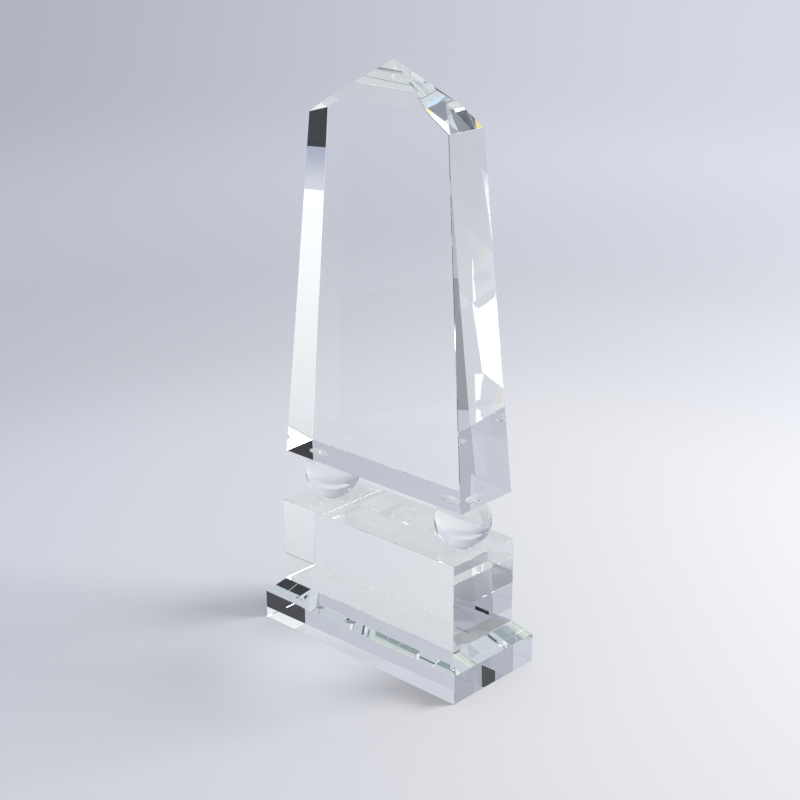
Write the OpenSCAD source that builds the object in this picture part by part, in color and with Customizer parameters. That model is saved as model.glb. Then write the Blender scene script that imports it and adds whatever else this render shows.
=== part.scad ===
// Crystal award: a tapered tower on two balls, on a rectangular block, on a bevelled base plate.
// Five pieces of cut and polished optical crystal, joined by thin layers of clear adhesive.
// Frame: +Z up, +X to the right, the front faces -Y, origin at the centre of the underside.

/* [Base plate] */
// Width of the plate, left to right
plate_w = 141; // [120:1:180]
// Depth of the plate, front to back
plate_d = 63; // [50:1:90]
// Height of the plate's upright edge, under its bevel
plate_edge_h = 16; // [8:1:30]
// Height and width of the bevel round the plate's top. The block covers what it leaves.
plate_bevel = 8; // [4:1:10]

/* [Block] */
// Height of the block
block_h = 48; // [30:1:70]

/* [Balls] */
// Diameter of each ball
ball_d = 30; // [20:1:34]
// Distance between the centres of the balls
ball_spacing = 95.4; // [50:0.1:100]
// Diameter of the flats ground on the top and bottom of each ball
ball_flat_d = 12.4; // [8:0.1:14]

/* [Tower] */
// Width of the tower's foot
foot_w = 126.5; // [122:0.5:150]
// Depth of the tower's foot
foot_d = 39.5; // [36:0.5:55]
// Width of the tower at the top of its end walls
eave_w = 94; // [70:0.5:110]
// Depth of the tower level with the top of its end walls
eave_d = 25.5; // [15:0.5:34]
// Height of the tower's end walls
wall_h = 186.5; // [120:0.5:240]
// How much higher the front and back walls go than the end walls, as low gables
gable_h = 8.9; // [0:0.1:15]
// Height of the pointed top above the end walls
peak_h = 29.5; // [16:0.5:50]

/* [Polish] */
// Width of the narrow polished flat along every edge
arris_w = 0.25; // [0.2:0.05:1]

/* [Adhesive] */
// Thickness of each layer of adhesive
glue_t = 0.1; // [0.1:0.05:0.3]
// How far the adhesive stands out round a ball's flat
glue_bead = 0.5; // [0.3:0.1:1]

/* [Hidden] */

LEFT = -1;
RIGHT = 1;
LOWER = -1;
UPPER = 1;

crystal_colour = [0.90, 0.93, 0.96, 0.45];
ball_colour = [0.86, 0.91, 0.97, 0.55];
glue_colour = [0.97, 0.97, 0.92, 0.60];

// Outward directions of the four sides of a cut piece: front, right, back, left
SIDES = [[0, -1], [1, 0], [0, 1], [-1, 0]];
// Half the size of a tool that grinds away everything beyond a plane
tool_reach = 500;
// What the sawn blank of a cut piece has to spare all round
blank_margin = 5;

block_w = plate_w - 2 * plate_bevel;
block_d = plate_d - 2 * plate_bevel;

ball_r = ball_d / 2;
// Distance from the centre of a ball to each of its flats
flat_z = sqrt(ball_r * ball_r - ball_flat_d * ball_flat_d / 4);
bead_r = ball_flat_d / 2 + glue_bead;
// Distance from the centre of a ball to the level where its adhesive ends on it
bead_z = sqrt(ball_r * ball_r - bead_r * bead_r);

plate_top = plate_edge_h + plate_bevel;
block_bottom = plate_top + glue_t;
block_top = block_bottom + block_h;
ball_z = block_top + glue_t + flat_z;
tower_bottom = ball_z + flat_z + glue_t;
eave_z = tower_bottom + wall_h;
gable_z = eave_z + gable_h;
peak_z = eave_z + peak_h;
// The front and back walls keep their slope up to the top of the gables.
gable_d = eave_d - (foot_d - eave_d) * gable_h / wall_h;

// A cut piece has a width profile and a depth profile. Each is a list of [size, height], from
// the bottom up, and the two may turn at different heights.
plate_widths = [[plate_w, 0], [plate_w, plate_edge_h], [block_w, plate_top]];
plate_depths = [[plate_d, 0], [plate_d, plate_edge_h], [block_d, plate_top]];
block_widths = [[block_w, block_bottom], [block_w, block_top]];
block_depths = [[block_d, block_bottom], [block_d, block_top]];
tower_widths = [[foot_w, tower_bottom], [eave_w, eave_z], [0, peak_z]];
tower_depths = [[foot_d, tower_bottom], [gable_d, gable_z], [0, peak_z]];

function unit(v) = v / norm(v);

function last(list) = list[len(list) - 1];

// A plane is [outward normal, distance from the origin]. This one is the face of one side
// between two points of its profile, and it also keeps the heights that it runs between.
function face(low, high, side) =
    let (run = (low[0] - high[0]) / 2)
    let (tilt = unit([high[1] - low[1], run]))
    [
        [tilt[0] * SIDES[side][0], tilt[0] * SIDES[side][1], tilt[1]],
        tilt[0] * low[0] / 2 + tilt[1] * low[1],
        low[1],
        high[1]
    ];

// Whether two faces of neighbouring sides run beside each other
function are_beside(a, b) = a[2] < b[3] && b[2] < a[3];

// The polished flat along the edge where two faces meet
function arris(a, b) =
    let (sum = a[0] + b[0])
    let (depth = arris_w / 2 * norm(a[0] - b[0]) / norm(sum))
    [unit(sum), (a[1] + b[1]) / norm(sum) - depth];

// Everything beyond a plane
module beyond(plane) {
    rotate([0, acos(plane[0][2]), atan2(plane[0][1], plane[0][0])])
        translate([-tool_reach, -tool_reach, plane[1]])
            cube(2 * tool_reach);
}

// A blank ground to the faces of its two profiles, with every edge broken by an arris
module cut_crystal(widths, depths) {
    bottom = [[0, 0, -1], -widths[0][1]];
    top = [[0, 0, 1], last(widths)[1]];
    has_flat_top = last(widths)[0] > 0;
    profiles = [depths, widths, depths, widths];
    faces = [
        for (side = [0 : 3])
            let (profile = profiles[side])
            [for (i = [1 : len(profile) - 1]) face(profile[i - 1], profile[i], side)]
    ];

    difference() {
        translate([
            -widths[0][0] / 2 - blank_margin,
            -depths[0][0] / 2 - blank_margin,
            widths[0][1] - blank_margin
        ])
            cube([
                widths[0][0] + 2 * blank_margin,
                depths[0][0] + 2 * blank_margin,
                last(widths)[1] - widths[0][1] + 2 * blank_margin
            ]);

        beyond(bottom);
        if (has_flat_top) beyond(top);

        for (side = [0 : 3]) {
            own = faces[side];
            beyond(arris(own[0], bottom));
            if (has_flat_top) beyond(arris(last(own), top));

            for (a = own) {
                beyond(a);
                for (b = faces[(side + 1) % 4])
                    if (are_beside(a, b)) beyond(arris(a, b));
            }

            if (len(own) > 1)
                for (i = [1 : len(own) - 1])
                    beyond(arris(own[i - 1], own[i]));
        }
    }
}

module ground_ball(side) {
    translate([side * ball_spacing / 2, 0, ball_z])
        intersection() {
            sphere(r = ball_r, $fn = 96);
            cube([2 * ball_d, 2 * ball_d, 2 * flat_z], center = true);
        }
}

// The adhesive between a ball's flat and the block or the tower, with the bead squeezed out of it
module ball_glue(side, end) {
    bead_h = flat_z + glue_t - bead_z;

    difference() {
        translate([
            side * ball_spacing / 2,
            0,
            ball_z + (end == UPPER ? bead_z : -bead_z - bead_h)
        ])
            cylinder(r = bead_r, h = bead_h, $fn = 96);
        ground_ball(side);
    }
}

module base_plate() {
    color(crystal_colour) cut_crystal(plate_widths, plate_depths);
}

module block_adhesive() {
    color(glue_colour)
        translate([-block_w / 2 + arris_w, -block_d / 2 + arris_w, plate_top])
            cube([block_w - 2 * arris_w, block_d - 2 * arris_w, glue_t]);
}

module block() {
    color(crystal_colour) cut_crystal(block_widths, block_depths);
}

module left_lower_adhesive() {
    color(glue_colour) ball_glue(LEFT, LOWER);
}

module left_ball() {
    color(ball_colour) ground_ball(LEFT);
}

module left_upper_adhesive() {
    color(glue_colour) ball_glue(LEFT, UPPER);
}

module right_lower_adhesive() {
    color(glue_colour) ball_glue(RIGHT, LOWER);
}

module right_ball() {
    color(ball_colour) ground_ball(RIGHT);
}

module right_upper_adhesive() {
    color(glue_colour) ball_glue(RIGHT, UPPER);
}

module tower() {
    color(crystal_colour) cut_crystal(tower_widths, tower_depths);
}

base_plate();
block_adhesive();
block();
left_lower_adhesive();
left_ball();
left_upper_adhesive();
right_lower_adhesive();
right_ball();
right_upper_adhesive();
tower();
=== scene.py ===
"""Looks of a crystal award in a small studio: five pieces of clear crystal and their adhesive."""

import math

import bpy
from mathutils import Matrix, Vector


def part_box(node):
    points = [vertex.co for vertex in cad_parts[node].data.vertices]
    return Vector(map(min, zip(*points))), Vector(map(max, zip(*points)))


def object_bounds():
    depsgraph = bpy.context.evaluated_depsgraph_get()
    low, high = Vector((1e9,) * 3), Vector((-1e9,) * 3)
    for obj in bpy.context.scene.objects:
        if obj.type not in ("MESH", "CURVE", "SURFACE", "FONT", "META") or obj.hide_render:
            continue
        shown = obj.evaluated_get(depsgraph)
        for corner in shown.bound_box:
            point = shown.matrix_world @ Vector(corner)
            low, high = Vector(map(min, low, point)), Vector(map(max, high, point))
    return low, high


MM = 0.001

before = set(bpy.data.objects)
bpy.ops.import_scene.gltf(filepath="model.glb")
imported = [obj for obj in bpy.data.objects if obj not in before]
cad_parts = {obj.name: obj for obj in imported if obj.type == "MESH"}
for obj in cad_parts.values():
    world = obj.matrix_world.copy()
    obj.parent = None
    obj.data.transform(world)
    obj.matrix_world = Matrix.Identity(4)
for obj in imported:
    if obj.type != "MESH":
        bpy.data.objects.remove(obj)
cad_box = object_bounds()

# The camera stands to the front right of the award and looks slightly down on it.
VIEW_AZIMUTH = 43.3
VIEW_ELEVATION = 20.1
VIEW_DISTANCE = 0.8433
VIEW_ROLL = -0.12
LENS_MM = 72.8
SENSOR_MM = 36.0
AIM_HEIGHT = 0.4419  # of the award's height
AIM_RIGHT = 2.5 * MM

CRYSTAL_COLOUR = (0.995, 1.0, 0.999)
CRYSTAL_IOR = 1.5185

BOTTOM = 0
TOP = 1
# How close to a face's height a point has to be to lie on that face
FACE_TOLERANCE = 0.02 * MM
# How much of the adhesive lets light straight through: all but its outer skin
BEAD_INSIDE = 0.995  # of a bead's radius
FILM_SKIN = 0.005 * MM

# How much of the lamp's light goes on through a surface on its way to the floor
SIDE_SHARE = 0.93
END_SHARE = 0.15
END_NORMAL = 0.5  # an end face looks to the left or right by more than this
BALL_SHARE = 0.7

# After this many turns inside the crystal, light counts as the room's own soft light.
# The tower is the clearest piece: light is followed longer there.
LAST_TURN = 11
TOWER_LAST_TURN = 26
# What the room's light looks like by then: places on a noise between 0 and 1, and their colours
BANDS = (
    (0.34, (0.07, 0.11, 0.14)),
    (0.41, (0.54, 0.61, 0.63)),
    (0.47, (0.60, 0.62, 0.68)),
    (0.53, (0.56, 0.58, 0.64)),
    (0.59, (0.63, 0.66, 0.56)),
    (0.66, (0.95, 0.97, 0.97)),
)
BAND_SCALE = 170.0
BAND_DETAIL = 1.0

# Bubbles and dust: cells per metre, the radius of a speck as a share of a cell, and the share
# of cells that have none
SPECK_CELLS = 150.0
SPECK_SIZE = 0.022
SPECK_FREE = 0.80
# The specks glow white: a painted glint on the real bubbles and dust
SPECK_GLINT_STRENGTH = 0.7
SPECK_GLINT_COLOUR = (0.95, 0.96, 0.98)

# The waviness of a polished face: waves per metre and their height
WAVE_SCALE = 30.0
WAVE_HEIGHT = 0.012 * MM

# The sheet of paper: a flat round floor that curves up into a wall
FLOOR_RADIUS = 1.3
CURVE_RADIUS = 0.6
WALL_TOP = 2.2
CURVE_STEPS = 14
ROUND_STEPS = 128
FLOOR_DROP = 0.05 * MM  # below the award, so that the two don't share a plane
PAPER_COLOUR = (0.745, 0.75, 0.77)
# Far from the award the paper's colour darkens: painted shade
FAR_SHADED_PAPER_COLOUR = (0.2, 0.2, 0.2)
# The paper's own soft glow stands for light from the rest of the room: near the award, round
# it and far behind it, to the left and to the right
NEAR_LEFT_GLOW = (0.243, 0.25, 0.295)
NEAR_RIGHT_GLOW = (0.233, 0.232, 0.206)
MIDDLE_GLOW = (0.172, 0.18, 0.205)
FAR_LEFT_GLOW = (0.327, 0.34, 0.401)
FAR_RIGHT_GLOW = (0.633, 0.647, 0.724)
# The light that the crystal gathers on the paper in front of its left end
PATCH_GLOW = (0.40, 0.41, 0.44)
PATCH_RADIUS = 0.07
# How far the glow's changes reach to the left and right, near the award and far from it
NEAR_REACH = 0.35
FAR_REACH = 1.0
# Distances from the award between which one glow gives way to the next, and the paper darkens with
# painted shade
MIDDLE_START = 0.30
MIDDLE_END = 0.55
FAR_START = 0.70
FAR_END = 1.45
FAR_SHADE_START = 0.8
FAR_SHADE_END = 1.6

# Where the paper stops to the camera's right, and where painted shade begins before that: the paper
# under the lamp's face, which the lamp doesn't reach
ROLL_SHADE_START = 0.545
ROLL_END = 0.650

ROOM_COLOUR = (0.20, 0.21, 0.24)


# ---------------------------------------------------------------- places

def studio(right, away, height):
    """A point in the room from distances to the camera's right, away from the camera, and up."""
    a = math.radians(VIEW_AZIMUTH)
    return Vector(
        (
            right * math.cos(a) - away * math.sin(a),
            right * math.sin(a) + away * math.cos(a),
            height,
        )
    )


PATCH_CENTRE = studio(-0.045, -0.035, 0.0)
TO_THE_RIGHT = studio(1.0, 0.0, 0.0)
UPWARDS = studio(0.0, 0.0, 1.0)


class Contact:
    """Where one ball's flats and the adhesive on them lie."""

    def __init__(self, side):
        low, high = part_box(side + "_ball")
        bead_low, bead_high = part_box(side + "_upper_adhesive")
        self.x = (low.x + high.x) / 2
        self.radius = (bead_high.x - bead_low.x) / 2


CONTACTS = [Contact("left"), Contact("right")]


# ---------------------------------------------------------------- node helpers

class Tree:
    """A material's node tree with short calls for what the materials below need."""

    def __init__(self, name):
        self.material = bpy.data.materials.new(name)
        self.material.use_nodes = True
        self.nodes = self.material.node_tree.nodes
        self.links = self.material.node_tree.links
        self.nodes.clear()

    def node(self, kind, **settings):
        """A new node with any of its own settings."""
        node = self.nodes.new("ShaderNode" + kind)
        for name, value in settings.items():
            setattr(node, name, value)
        return node

    def feed(self, socket, value):
        """Link an output to a socket, or set the socket to a number, a vector or a colour."""
        if isinstance(value, bpy.types.NodeSocket):
            self.links.new(value, socket)
        elif socket.type == "RGBA":
            socket.default_value = (*value, 1.0)
        else:
            socket.default_value = value

    def maths(self, operation, a, b=0.0):
        node = self.node("Math", operation=operation)
        self.feed(node.inputs[0], a)
        self.feed(node.inputs[1], b)
        return node.outputs[0]

    def position(self):
        """The point being shaded, in the award's own frame."""
        return self.node("TexCoord").outputs["Object"]

    def split(self, vector):
        """x, y and z of a vector, by name."""
        node = self.node("SeparateXYZ")
        self.feed(node.inputs[0], vector)
        return node.outputs

    def along(self, vector, direction):
        """How far a point lies along a direction."""
        node = self.node("VectorMath", operation="DOT_PRODUCT")
        self.feed(node.inputs[0], vector)
        self.feed(node.inputs[1], direction)
        return node.outputs["Value"]

    def distance(self, vector, point):
        node = self.node("VectorMath", operation="DISTANCE")
        self.feed(node.inputs[0], vector)
        self.feed(node.inputs[1], point)
        return node.outputs["Value"]

    def ramp(self, value, start, end):
        """0 at start, 1 at end, eased at both."""
        node = self.node("MapRange", interpolation_type="SMOOTHSTEP")
        self.feed(node.inputs["From Min"], start)
        self.feed(node.inputs["From Max"], end)
        self.feed(node.inputs["Value"], value)
        return node.outputs["Result"]

    def blend(self, factor, first, second):
        """A colour between first and second, each a colour or an output."""
        node = self.node("Mix", data_type="RGBA")
        self.feed(node.inputs[0], factor)
        self.feed(node.inputs[6], first)
        self.feed(node.inputs[7], second)
        return node.outputs[2]

    def emission(self, colour):
        node = self.node("Emission")
        self.feed(node.inputs["Color"], colour)
        return node.outputs[0]

    def mix(self, factor, first, second):
        """A surface between two surfaces."""
        node = self.node("MixShader")
        self.feed(node.inputs[0], factor)
        self.feed(node.inputs[1], first)
        self.feed(node.inputs[2], second)
        return node.outputs[0]

    def sum(self, first, second):
        """Two surfaces at once."""
        node = self.node("AddShader")
        self.feed(node.inputs[0], first)
        self.feed(node.inputs[1], second)
        return node.outputs[0]

    def finish(self, surface):
        """The finished material. What glows in it isn't sampled as a lamp."""
        out = self.node("OutputMaterial")
        self.feed(out.inputs["Surface"], surface)
        self.material.cycles.emission_sampling = "NONE"
        return self.material


# ---------------------------------------------------------------- masks

def near_discs(tree, xyz, radius_share=1.0):
    """1 inside the two upright cylinders through the balls' flats, 0 outside."""
    found = 0.0
    y_squared = tree.maths("MULTIPLY", xyz["Y"], xyz["Y"])
    for contact in CONTACTS:
        dx = tree.maths("SUBTRACT", xyz["X"], contact.x)
        dx_squared = tree.maths("MULTIPLY", dx, dx)
        reach = tree.maths("SQRT", tree.maths("ADD", dx_squared, y_squared))
        inside = tree.maths("LESS_THAN", reach, contact.radius * radius_share)
        found = tree.maths("MAXIMUM", found, inside)
    return found


def at_height(tree, xyz, height):
    """1 on a level face at this height, 0 elsewhere."""
    away = tree.maths("ABSOLUTE", tree.maths("SUBTRACT", xyz["Z"], height))
    return tree.maths("LESS_THAN", away, FACE_TOLERANCE)


def in_rectangle(tree, xyz, half_x, half_y):
    """1 inside an upright rectangular block round the middle, 0 outside."""
    across = tree.maths("LESS_THAN", tree.maths("ABSOLUTE", xyz["X"]), half_x)
    along = tree.maths("LESS_THAN", tree.maths("ABSOLUTE", xyz["Y"]), half_y)
    return tree.maths("MULTIPLY", across, along)


def disc_mask(node, end):
    """The mask of the two spots where the balls' adhesive touches one end of a piece."""
    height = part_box(node)[end].z

    def mask(tree, xyz):
        return tree.maths("MULTIPLY", near_discs(tree, xyz), at_height(tree, xyz, height))

    return mask


def film_mask(node, end):
    """The mask of the area where the adhesive under the block touches one end of a piece."""
    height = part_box(node)[end].z
    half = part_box("block_adhesive")[TOP]

    def mask(tree, xyz):
        inside = in_rectangle(tree, xyz, half.x, half.y)
        return tree.maths("MULTIPLY", inside, at_height(tree, xyz, height))

    return mask


# ---------------------------------------------------------------- crystal

def crystal_shader(tree, normal):
    """Clear polished crystal."""
    node = tree.node("BsdfGlass")
    tree.feed(node.inputs["Color"], CRYSTAL_COLOUR)
    tree.feed(node.inputs["Roughness"], 0.0)
    tree.feed(node.inputs["IOR"], CRYSTAL_IOR)
    tree.feed(node.inputs["Normal"], normal)
    return node.outputs[0]


def passed_light(tree, side_share, end_share):
    """How much of the lamp's light goes on through the surface: end faces turn it aside."""
    normal = tree.split(tree.node("NewGeometry").outputs["True Normal"])
    is_end = tree.maths("GREATER_THAN", tree.maths("ABSOLUTE", normal["X"]), END_NORMAL)
    share = tree.maths("ADD", side_share, tree.maths("MULTIPLY", is_end, end_share - side_share))
    is_shadow = tree.node("LightPath").outputs["Is Shadow Ray"]
    return tree.maths("MULTIPLY", is_shadow, share)


def room_share(tree, last_turn):
    """1 for light that has turned too often inside the crystal to follow any further."""
    turns = tree.node("LightPath").outputs["Ray Depth"]
    return tree.maths("GREATER_THAN", turns, last_turn)


def room_light(tree, xyz):
    """The room's soft light as it comes out of the crystal, in bands of colour across its depth."""
    wave = tree.node("TexNoise", noise_dimensions="1D")
    tree.feed(wave.inputs["Scale"], BAND_SCALE)
    tree.feed(wave.inputs["Detail"], BAND_DETAIL)
    tree.feed(wave.inputs["W"], xyz["Y"])
    bands = tree.node("ValToRGB")
    stops = bands.color_ramp.elements
    stops[0].position = BANDS[0][0]
    stops[1].position = BANDS[-1][0]
    for position, _ in BANDS[1:-1]:
        stops.new(position)
    for stop, (position, colour) in zip(stops, BANDS):
        stop.color = (*colour, 1.0)
    tree.feed(bands.inputs["Fac"], wave.outputs["Fac"])
    return tree.emission(bands.outputs["Color"])


def specks(tree, position):
    """1 on the few pin-prick bubbles and dust grains of a polished face, 0 elsewhere."""
    cells = tree.node("TexVoronoi")
    tree.feed(cells.inputs["Scale"], SPECK_CELLS)
    tree.feed(cells.inputs["Vector"], position)
    pick = tree.node("SeparateColor")
    tree.feed(pick.inputs[0], cells.outputs["Color"])
    near = tree.maths("LESS_THAN", cells.outputs["Distance"], SPECK_SIZE)
    rare = tree.maths("GREATER_THAN", pick.outputs[0], SPECK_FREE)
    return tree.maths("MULTIPLY", near, rare)


def polish(tree, position):
    """The very slight waviness that hand polishing leaves on a face."""
    noise = tree.node("TexNoise")
    tree.feed(noise.inputs["Scale"], WAVE_SCALE)
    tree.feed(noise.inputs["Detail"], 0.0)
    tree.feed(noise.inputs["Vector"], position)
    bump = tree.node("Bump")
    tree.feed(bump.inputs["Strength"], 1.0)
    tree.feed(bump.inputs["Distance"], WAVE_HEIGHT)
    tree.feed(bump.inputs["Height"], noise.outputs["Fac"])
    return bump.outputs["Normal"]


def contact_material(name, masks, side_share=SIDE_SHARE, end_share=END_SHARE, last_turn=LAST_TURN):
    """Crystal whose glued areas, given by masks, let light straight through into the next piece."""
    tree = Tree(name)
    position = tree.position()
    xyz = tree.split(position)
    through = passed_light(tree, side_share, end_share)
    for mask in masks:
        through = tree.maths("MAXIMUM", through, mask(tree, xyz))
    glass = crystal_shader(tree, polish(tree, position))
    # Bubbles and dust that glow white as if they caught the light: painted glints
    glint_share = tree.maths("MULTIPLY", specks(tree, position), SPECK_GLINT_STRENGTH)
    glinting = tree.mix(glint_share, glass, tree.emission(SPECK_GLINT_COLOUR))
    body = tree.mix(room_share(tree, last_turn), glinting, room_light(tree, xyz))
    clear = tree.node("BsdfTransparent").outputs[0]
    return tree.finish(tree.mix(through, body, clear))


def give(node, material):
    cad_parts[node].material_slots[0].material = material


def dress_crystal():
    """The looks of the five cut pieces."""
    tower_masks = [disc_mask("tower", BOTTOM)]
    give("tower", contact_material("tower_crystal", tower_masks, last_turn=TOWER_LAST_TURN))
    block_masks = [disc_mask("block", TOP), film_mask("block", BOTTOM)]
    give("block", contact_material("block_crystal", block_masks))
    give("base_plate", contact_material("plate_crystal", [film_mask("base_plate", TOP)]))
    ball_crystal = contact_material("ball_crystal", [near_discs], BALL_SHARE, BALL_SHARE)
    give("left_ball", ball_crystal)
    give("right_ball", ball_crystal)


def dress_adhesive():
    """The looks of the adhesive: as clear as the crystal, and open to light but for its skin."""
    film_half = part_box("block_adhesive")[TOP]

    def bead_inside(tree, xyz):
        return near_discs(tree, xyz, BEAD_INSIDE)

    def film_inside(tree, xyz):
        return in_rectangle(tree, xyz, film_half.x - FILM_SKIN, film_half.y - FILM_SKIN)

    bead = contact_material("bead_adhesive", [bead_inside])
    for place in ("left_lower", "left_upper", "right_lower", "right_upper"):
        give(place + "_adhesive", bead)
    give("block_adhesive", contact_material("film_adhesive", [film_inside]))


# ---------------------------------------------------------------- studio

def paper_glow(tree, position, from_middle):
    """The colour of the paper's soft glow."""
    right = tree.along(position, TO_THE_RIGHT)
    near = tree.blend(tree.ramp(right, -NEAR_REACH, NEAR_REACH), NEAR_LEFT_GLOW, NEAR_RIGHT_GLOW)
    far = tree.blend(tree.ramp(right, -FAR_REACH, FAR_REACH), FAR_LEFT_GLOW, FAR_RIGHT_GLOW)
    glow = tree.blend(tree.ramp(from_middle, MIDDLE_START, MIDDLE_END), near, MIDDLE_GLOW)
    glow = tree.blend(tree.ramp(from_middle, FAR_START, FAR_END), glow, far)
    patch = tree.ramp(tree.distance(position, PATCH_CENTRE), PATCH_RADIUS, 0.0)
    return tree.blend(patch, glow, PATCH_GLOW)


def paper_material():
    """Pale lavender paper: lit by the lamps, with a soft glow of its own, and darkened far from the
    award by painted shade.
    """
    tree = Tree("studio_paper")
    position = tree.position()
    from_middle = tree.distance(position, Vector((0.0, 0.0, 0.0)))
    # Painted shade: the paper darkens far from the award
    far_shade = tree.ramp(from_middle, FAR_SHADE_START, FAR_SHADE_END)
    lit = tree.node("BsdfDiffuse")
    tree.feed(lit.inputs["Color"], tree.blend(far_shade, PAPER_COLOUR, FAR_SHADED_PAPER_COLOUR))
    glow = tree.emission(paper_glow(tree, position, from_middle))
    return tree.finish(tree.sum(glow, lit.outputs[0]))


def glow_material(name, colour):
    """A card that glows in one colour."""
    tree = Tree(name)
    return tree.finish(tree.emission(colour))


def fading_material(name, near_colour, far_colour, start, end, direction=TO_THE_RIGHT):
    """A card that glows from one colour to another along a direction."""
    tree = Tree(name)
    share = tree.ramp(tree.along(tree.position(), direction), start, end)
    return tree.finish(tree.emission(tree.blend(share, near_colour, far_colour)))


def stage_mesh(name, verts, faces, material, height=0.0):
    """An object that belongs to the studio, not to the award."""
    mesh = bpy.data.meshes.new(name)
    mesh.from_pydata(verts, [], faces)
    mesh.materials.append(material)
    obj = bpy.data.objects.new(name, mesh)
    obj.location.z = height
    bpy.context.scene.collection.objects.link(obj)
    return obj


def bowl_profile():
    """Radius and height of the paper's rings, from the floor up."""
    profile = [(FLOOR_RADIUS, 0.0)]
    for i in range(1, CURVE_STEPS + 1):
        turn = math.pi / 2 * i / CURVE_STEPS
        radius = FLOOR_RADIUS + CURVE_RADIUS * math.sin(turn)
        profile.append((radius, CURVE_RADIUS * (1 - math.cos(turn))))
    profile.append((FLOOR_RADIUS + CURVE_RADIUS, WALL_TOP))
    return profile


def bowl():
    """A round sheet of pale paper that curves up into a wall on all sides."""
    profile = bowl_profile()
    verts = [(0.0, 0.0, 0.0)]
    for radius, height in profile:
        for j in range(ROUND_STEPS):
            a = 2 * math.pi * j / ROUND_STEPS
            verts.append((radius * math.cos(a), radius * math.sin(a), height))
    faces = []
    for j in range(ROUND_STEPS):
        k = (j + 1) % ROUND_STEPS
        faces.append((0, 1 + j, 1 + k))
        for i in range(len(profile) - 1):
            inner = 1 + i * ROUND_STEPS
            outer = inner + ROUND_STEPS
            faces.append((inner + j, outer + j, outer + k, inner + k))
    obj = stage_mesh("studio_floor", verts, faces, paper_material(), -FLOOR_DROP)
    obj.data.polygons.foreach_set("use_smooth", [True] * len(faces))


def outline_card(name, corners, material):
    """A flat card seen only in the crystal, with any outline."""
    obj = stage_mesh(name, corners, [tuple(range(len(corners)))], material)
    obj.visible_camera = False
    obj.visible_shadow = False
    obj.visible_diffuse = False


def card(name, material, corner, size):
    """A rectangular card from a corner and its size to the right, away and up, one of them 0."""
    width, depth, rise = size
    start = studio(*corner)
    sides = [studio(width, 0, 0), studio(0, depth, 0), studio(0, 0, rise)]
    first, second = [side for side in sides if side.length > 0]
    outline_card(name, [start, start + first, start + first + second, start + second], material)


def softbox(name, centre, target, size, radiance):
    """A square light facing target, as bright as asked at any size. Only the floor sees it."""
    light = bpy.data.lights.new(name, "AREA")
    light.size = size
    light.energy = radiance * math.pi * size * size
    obj = bpy.data.objects.new(name, light)
    obj.location = centre
    obj.rotation_mode = "QUATERNION"
    obj.rotation_quaternion = (target - centre).to_track_quat("-Z", "Y")
    bpy.context.scene.collection.objects.link(obj)
    obj.visible_camera = False
    obj.visible_glossy = False
    obj.visible_transmission = False


def lamp():
    """The main lamp: a soft light for the floor, and the bright card that the crystal shows."""
    softbox("right_softbox", studio(0.88, 0.10, 0.78), studio(0.0, 0.0, 0.12), 0.50, 11.4)
    # Away and up, at the lamp's distance to the right
    outline = (
        (0.04, 0.953),
        (0.09, 0.913),
        (0.13, 0.70),
        (0.25, 0.70),
        (0.262, 0.765),
        (0.275, 0.775),
        (0.275, 1.05),
        (0.04, 1.05),
    )
    corners = [studio(0.88, away, height) for away, height in outline]
    outline_card("right_lamp_card", corners, glow_material("studio_key", (5.0, 5.0, 5.1)))


def paper_edge():
    """What lies to the sides: the end of the paper with painted shade before it, painted shade on
    the paper to the left, and the dark table and walls.
    """
    black = glow_material("studio_black", (0.003, 0.003, 0.004))
    shade = glow_material("studio_shade", (0.33, 0.33, 0.35))
    # Painted shade on the paper just short of its end, darkening towards the edge; seen only in the
    # crystal
    roll_shade = fading_material(
        "studio_roll_shade", (0.67, 0.69, 0.77), (0.40, 0.43, 0.56), ROLL_SHADE_START, ROLL_END
    )
    roll_width = ROLL_END - ROLL_SHADE_START
    card("roll_shade_card", roll_shade, (ROLL_SHADE_START, -0.25, 0.002), (roll_width, 0.6, 0))
    card("right_floor_card", black, (ROLL_END, -0.22, 0.002), (0.51, 0.52, 0))
    card("right_wall_card", black, (1.165, -0.25, 0.0), (0, 0.85, 0.75))
    card("left_wall_card", black, (-0.95, 0.12, 0.0), (0, 0.4, 0.36))
    # Painted shade on the paper to the left, seen only in the crystal
    card("left_floor_card", shade, (-0.42, -0.15, 0.002), (0.19, 0.22, 0))


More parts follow.
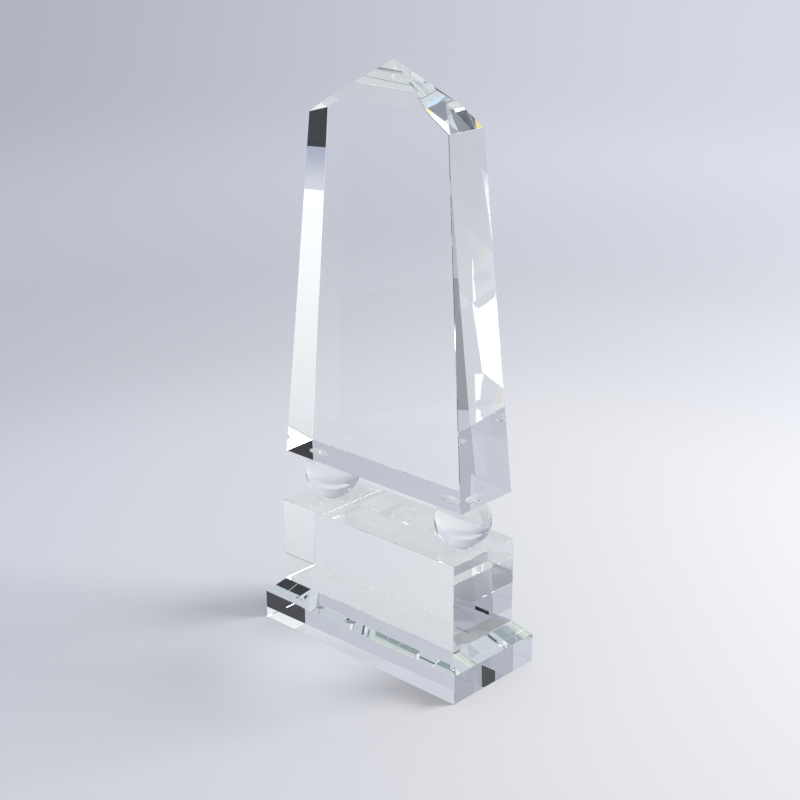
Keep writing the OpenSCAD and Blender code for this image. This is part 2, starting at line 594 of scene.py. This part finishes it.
def surroundings():
    """White paper round the lamp, the far wall, and what only the crystal shows: painted warm light
    at the lamp's edge, painted shade in dark patches on the table, and painted warm and cool light
    in spots on the table.
    """
    white = glow_material("studio_white", (1.35, 1.35, 1.36))
    # Colours of painted light that only the crystal shows
    warm_light = glow_material("studio_warm_light", (1.30, 1.05, 0.45))
    cool_light = glow_material("studio_cool_light", (0.85, 1.15, 1.55))
    small_lamp = glow_material("studio_lamp", (7.0, 7.0, 7.1))
    dark = fading_material("studio_dark", (0.06, 0.07, 0.10), (0.20, 0.21, 0.26), 0.09, 0.50)
    sky = fading_material(
        "studio_sky", (0.64, 0.65, 0.71), (0.74, 0.75, 0.79), 0.04, 0.10, UPWARDS
    )
    card("back_card", sky, (-1.1, 1.5, 0.04), (2.2, 0, 0.26))
    card("lamp_foot_card", white, (0.885, 0.03, 0.50), (0, 0.20, 0.22))
    card("lamp_side_card", white, (0.885, 0.286, 0.42), (0, 0.34, 0.56))
    # Painted warm light at the lamp's edge, seen only in the crystal
    card("lamp_edge_card", warm_light, (0.885, 0.278, 0.42), (0, 0.008, 0.56))
    # Painted shade: dark patches on the table that only the crystal shows
    card("near_dark_card", dark, (0.09, -0.112, 0.003), (0.10, 0.102, 0))
    card("far_dark_card", dark, (0.48, -0.27, 0.003), (0.13, 0.10, 0))
    # Painted warm and cool light in spots on the table, seen only in the crystal
    card("far_spot_card", cool_light, (0.61, -0.245, 0.003), (0.05, 0.022, 0))
    card("near_spot_card", warm_light, (0.09, -0.17, 0.003), (0.07, 0.056, 0))
    card("left_lamp_card", small_lamp, (-0.85, -0.03, 0.83), (0, 0.05, 0.07))


def under_card():
    """The paper under the plate, as light as if the award didn't shade it."""
    low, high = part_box("base_plate")
    z = -0.03 * MM  # between the plate and the floor
    corners = [
        Vector((low.x, low.y, z)),
        Vector((high.x, low.y, z)),
        Vector((high.x, high.y, z)),
        Vector((low.x, high.y, z)),
    ]
    outline_card("under_card", corners, glow_material("studio_under", (0.70, 0.72, 0.74)))


def make_room():
    """The dim light that comes from everywhere else."""
    world = bpy.data.worlds.new("studio_room")
    world.use_nodes = True
    background = world.node_tree.nodes["Background"]
    background.inputs["Color"].default_value = (*ROOM_COLOUR, 1.0)
    background.inputs["Strength"].default_value = 1.0
    world.cycles_visibility.diffuse = False
    world.cycles.sampling_method = "NONE"
    bpy.context.scene.world = world


# ---------------------------------------------------------------- camera

def make_camera():
    data = bpy.data.cameras.new("camera")
    data.lens = LENS_MM
    data.sensor_width = SENSOR_MM
    data.clip_start = 0.01
    data.clip_end = 50.0
    camera = bpy.data.objects.new("camera", data)
    bpy.context.scene.collection.objects.link(camera)
    a = math.radians(VIEW_AZIMUTH)
    e = math.radians(VIEW_ELEVATION)
    back = Vector((math.sin(a) * math.cos(e), -math.cos(a) * math.cos(e), math.sin(e)))
    low, high = cad_box
    aim = studio(AIM_RIGHT, 0.0, low.z + AIM_HEIGHT * (high.z - low.z))
    level = (-back).to_track_quat("-Z", "Y").to_matrix()
    turn = level @ Matrix.Rotation(math.radians(VIEW_ROLL), 3, "Z")
    camera.matrix_world = Matrix.Translation(aim + back * VIEW_DISTANCE) @ turn.to_4x4()
    bpy.context.scene.camera = camera


def follow_light():
    """How light is followed and shown: through many faces of the crystal, in plain colours."""
    scene = bpy.context.scene
    scene.view_settings.view_transform = "Standard"
    scene.view_settings.look = "None"
    scene.cycles.max_bounces = 32
    scene.cycles.transmission_bounces = 28
    scene.cycles.glossy_bounces = 16
    scene.cycles.transparent_max_bounces = 48
    scene.cycles.diffuse_bounces = 0
    scene.cycles.sample_clamp_indirect = 0.0


dress_crystal()
dress_adhesive()
bowl()
paper_edge()
lamp()
surroundings()
under_card()
make_room()
make_camera()
follow_light()
